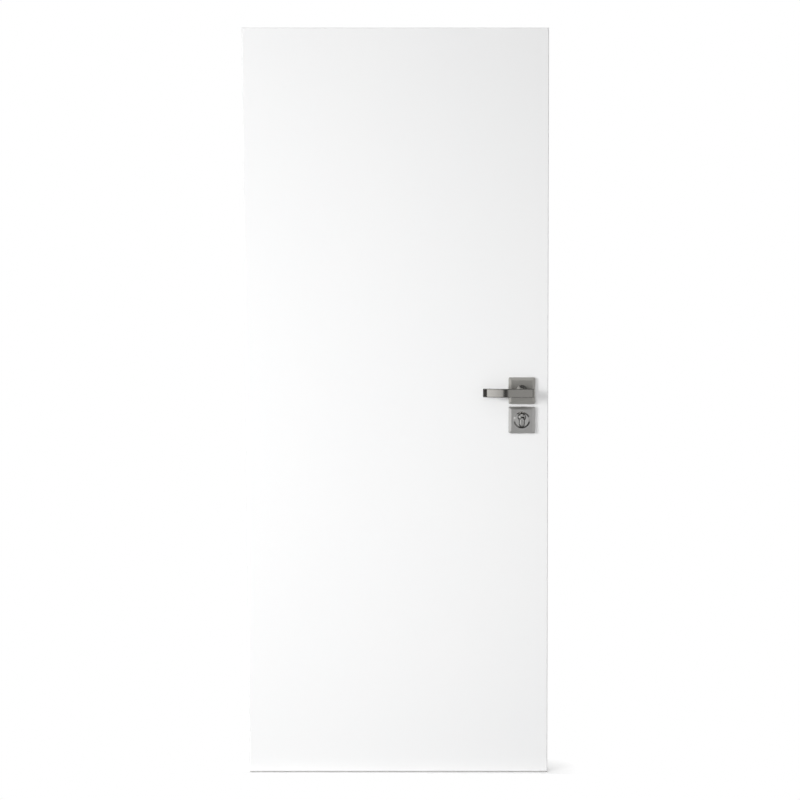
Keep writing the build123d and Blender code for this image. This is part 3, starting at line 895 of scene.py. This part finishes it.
def floor_finish():
    """Pale matt floor near the leaf; further out the camera and mirrors see it as plain white."""
    material, tree, place = new_finish("studio_floor")
    drift = noise(tree, place, FLOOR_DRIFT_SCALE, FLOOR_DRIFT_DETAIL)
    tone = between(tree, drift, FLOOR_TONE - FLOOR_DRIFT, FLOOR_TONE + FLOOR_DRIFT)
    matt = add(tree, "ShaderNodeBsdfDiffuse", {"Color": tone})
    seen = seen_ray(tree)
    glow = add(tree, "ShaderNodeEmission", {"Strength": maths(tree, "MULTIPLY", seen, FLOOR_GLOW)})
    near = add(tree, "ShaderNodeAddShader", {0: matt.outputs[0], 1: glow.outputs[0]})
    far = add(tree, "ShaderNodeEmission", {"Strength": PLAIN_WHITE})
    away = step(tree, distance_from_foot(tree, place), 0.0, SHADOW_REACH)
    chosen = {0: maths(tree, "MULTIPLY", away, seen), 1: near.outputs[0], 2: far.outputs[0]}
    surface = add(tree, "ShaderNodeMixShader", chosen).outputs[0]
    add(tree, "ShaderNodeOutputMaterial", {"Surface": surface})
    return material


studio_floor = floor_finish()
print("mixed:", studio_floor.name)

# %% [markdown]
# ## The sheet of the floor
# A floor is level and has no thickness that shows, so one face with four corners does. It lies a
# hair below the leaf's foot, so that the two faces don't flicker into each other.

# %% Lay the floor
FLOOR_REACH = 8.0
FLOOR_FRONT = 0.035
FLOOR_DROP = 0.0002


def flat_sheet(name, low, high, height):
    """A level sheet between two corners in x and y: each corner takes one end of either range."""
    sides = np.array([(0, 0), (1, 0), (1, 1), (0, 1)])
    spots = np.array(low) + sides * (np.array(high) - np.array(low))
    corners = np.column_stack([spots, np.full(len(sides), height)])
    mesh = bpy.data.meshes.new(name)
    mesh.from_pydata(corners.tolist(), [], [(0, 1, 2, 3)])
    made = bpy.data.objects.new(name, mesh)
    bpy.context.scene.collection.objects.link(made)
    return made


floor = flat_sheet("studio_floor", (-FLOOR_REACH, -FLOOR_FRONT), (FLOOR_REACH, FLOOR_REACH), -FLOOR_DROP)
floor.data.materials.append(studio_floor)
print("floor laid:", 2 * FLOOR_REACH, "m wide")

# %% [markdown]
# ## The room that the metal shows
# Polished metal shows the room, and without a room it looks like grey paint. A photographer hangs
# white panels and dark flags round such a piece. Here they are bands of brightness by the angle
# round the room, with 0 straight in front of the leaf and the left side positive: a plain grey
# wall behind the camera, a dark flag left of it, a bright panel next to the flag, and softer bands
# to the right. Three lists serve three heights: the wall itself, what is above and what is below.

# %% The bands round the room
WALL = [
    (-180, 1.0), (-120, 1.0), (-92, 0.90), (-84, 0.25), (-64, 0.25), (-54, 0.85), (-34, 0.85),
    (-28, 0.30), (-18, 0.30), (-10, 0.64), (2.5, 0.64), (5, 0.07), (16, 0.07), (19, 1.0),
    (28, 1.45), (56, 1.35), (60, 0.08), (135, 0.08), (150, 1.0), (180, 1.0),
]
HIGH_WALL = [
    (-180, 1.0), (-120, 1.0), (-90, 0.15), (-30, 0.15), (-22, 0.85), (20, 0.85),
    (30, 0.50), (60, 0.50), (100, 1.0), (125, 1.0), (180, 1.0),
]
LOW_WALL = [
    (-180, 1.0), (-120, 1.0), (-90, 0.05), (-30, 0.10), (-22, 0.85),
    (16, 0.85), (22, 0.25), (60, 0.20), (120, 1.0), (180, 1.0),
]
HALF_TURN = 180
FULL_TURN = 360


def room_band(tree, share, stops):
    """Brightness by the angle round the room, from its own list of angles and values."""
    band = add(tree, "ShaderNodeValToRGB", {"Fac": share})
    elements = band.color_ramp.elements
    while len(elements) < len(stops):
        elements.new(position=0.5)
    for element, (angle, value) in zip(elements, stops):
        element.position = (angle + HALF_TURN) / FULL_TURN
        element.color = (value, value, value, 1.0)
    return band.outputs["Color"]


print("stops of the bands:", len(WALL), len(HIGH_WALL), len(LOW_WALL))

# %% [markdown]
# ## The world
# The three bands are blended by the height of the direction, with a dim ceiling above them and a
# dark pit below. They light the leaf softly from all sides too. The camera sees plain white
# wherever nothing stands, so the ground of the picture stays white whatever the room looks like.

# %% Build the room
BAND_NEAR = 0.20
BAND_FAR = 0.30
CEILING_NEAR = 0.83
CEILING_FAR = 0.88
CEILING_TONE = 0.12
PIT_NEAR = 0.80
PIT_FAR = 0.84
PIT_TONE = 0.06


def room():
    """The world: bands round the room, blended by height, and plain white for the camera."""
    world = bpy.data.worlds.new("studio_room")
    world.use_nodes = True
    tree = world.node_tree
    tree.nodes.clear()
    axes = axes_of(tree, add(tree, "ShaderNodeTexCoord").outputs["Generated"])
    aside = maths(tree, "MULTIPLY", axes["X"], -1.0)
    ahead = maths(tree, "MULTIPLY", axes["Y"], -1.0)
    share = step(tree, maths(tree, "ARCTAN2", aside, ahead), -math.pi, math.pi)
    up = axes["Z"]
    down = maths(tree, "MULTIPLY", up, -1.0)
    tone = room_band(tree, share, WALL)
    tone = blend_colours(tree, step(tree, up, BAND_NEAR, BAND_FAR), tone, room_band(tree, share, HIGH_WALL))
    tone = blend_colours(tree, step(tree, down, BAND_NEAR, BAND_FAR), tone, room_band(tree, share, LOW_WALL))
    tone = blend_colours(tree, step(tree, up, CEILING_NEAR, CEILING_FAR), tone, (CEILING_TONE,) * 3)
    tone = blend_colours(tree, step(tree, down, PIT_NEAR, PIT_FAR), tone, (PIT_TONE,) * 3)
    lit = add(tree, "ShaderNodeBackground", {"Color": tone})
    white = add(tree, "ShaderNodeBackground", {"Color": (PLAIN_WHITE,) * 4})
    chosen = {0: seen_ray(tree, mirrors=False), 1: lit.outputs[0], 2: white.outputs[0]}
    add(tree, "ShaderNodeOutputWorld", {"Surface": add(tree, "ShaderNodeMixShader", chosen).outputs[0]})
    return world


bpy.context.scene.world = room()
print("room built:", bpy.context.scene.world.name)

# %% [markdown]
# ## The two soft boxes
# A white board only shows its form by a slow fall of light. The key box is large and stands far to
# the left, a little above the lever, so the leaf darkens softly to the right and the furniture
# throws soft shadows that way. The fill box is dimmer, stands by the camera and throws a narrower
# beam at the foot of the leaf. Both stay out of the mirrors, where the room's panels stand for them.


# %% Set up the soft boxes
def soft_box(name, place, aim, width, height, radiance, spread):
    """A rectangular lamp aimed at a point; its power is radiance times area times pi."""
    lamp = bpy.data.lights.new(name, "AREA")
    lamp.shape = "RECTANGLE"
    lamp.size = width
    lamp.size_y = height
    lamp.energy = radiance * width * height * math.pi
    lamp.spread = math.radians(spread)
    made = bpy.data.objects.new(name, lamp)
    made.location = place
    towards = np.array(aim) - np.array(place)
    tilt = math.atan2(towards[2], math.hypot(towards[0], towards[1]))
    made.rotation_euler = (math.pi / 2 + tilt, 0, math.atan2(-towards[0], towards[1]))
    made.visible_glossy = False
    bpy.context.scene.collection.objects.link(made)
    return made


key_box = soft_box(
    "key_box", place=(-3.1, -2.88, 1.79), aim=(-0.52, 0.0, 1.2),
    width=1.8, height=1.0, radiance=19.1, spread=175)
fill_box = soft_box(
    "fill_box", place=(0.46, -4.6, 1.78), aim=(0.15, 0.0, 0.1),
    width=1.2, height=1.0, radiance=2.05, spread=67)
print("lamps:", round(key_box.data.energy, 1), "W and", round(fill_box.data.energy, 1), "W")

# %% [markdown]
# ## The camera
# The picture looks straight at the leaf from a little above its middle. Its right edge stands
# nearly upright in the picture while the left edge leans in towards the foot, so the camera stands
# to the right of the leaf's middle and its lens is shifted to bring the leaf back to the centre.
# The focal length is kept in pixels, because that is how it is measured in a picture.

# %% Place the camera
PICTURE = 800.0
CAMERA_PLACE = (0.68, -4.5, 1.379)
CAMERA_TILT = math.radians(4.363)
FOCAL_PIXELS = 1645.4
SHIFT_PIXELS = 94.7
SENSOR = 36.0

camera_data = bpy.data.cameras.new("camera")
camera_data.sensor_width = SENSOR
camera_data.lens = FOCAL_PIXELS * SENSOR / PICTURE
camera_data.shift_x = -SHIFT_PIXELS / PICTURE
camera = bpy.data.objects.new("camera", camera_data)
camera.location = CAMERA_PLACE
camera.rotation_euler = (math.pi / 2 - CAMERA_TILT, 0, 0)
bpy.context.scene.collection.objects.link(camera)
bpy.context.scene.camera = camera
bpy.context.scene.view_settings.view_transform = "Standard"
print("lens", round(camera_data.lens, 1), "mm")
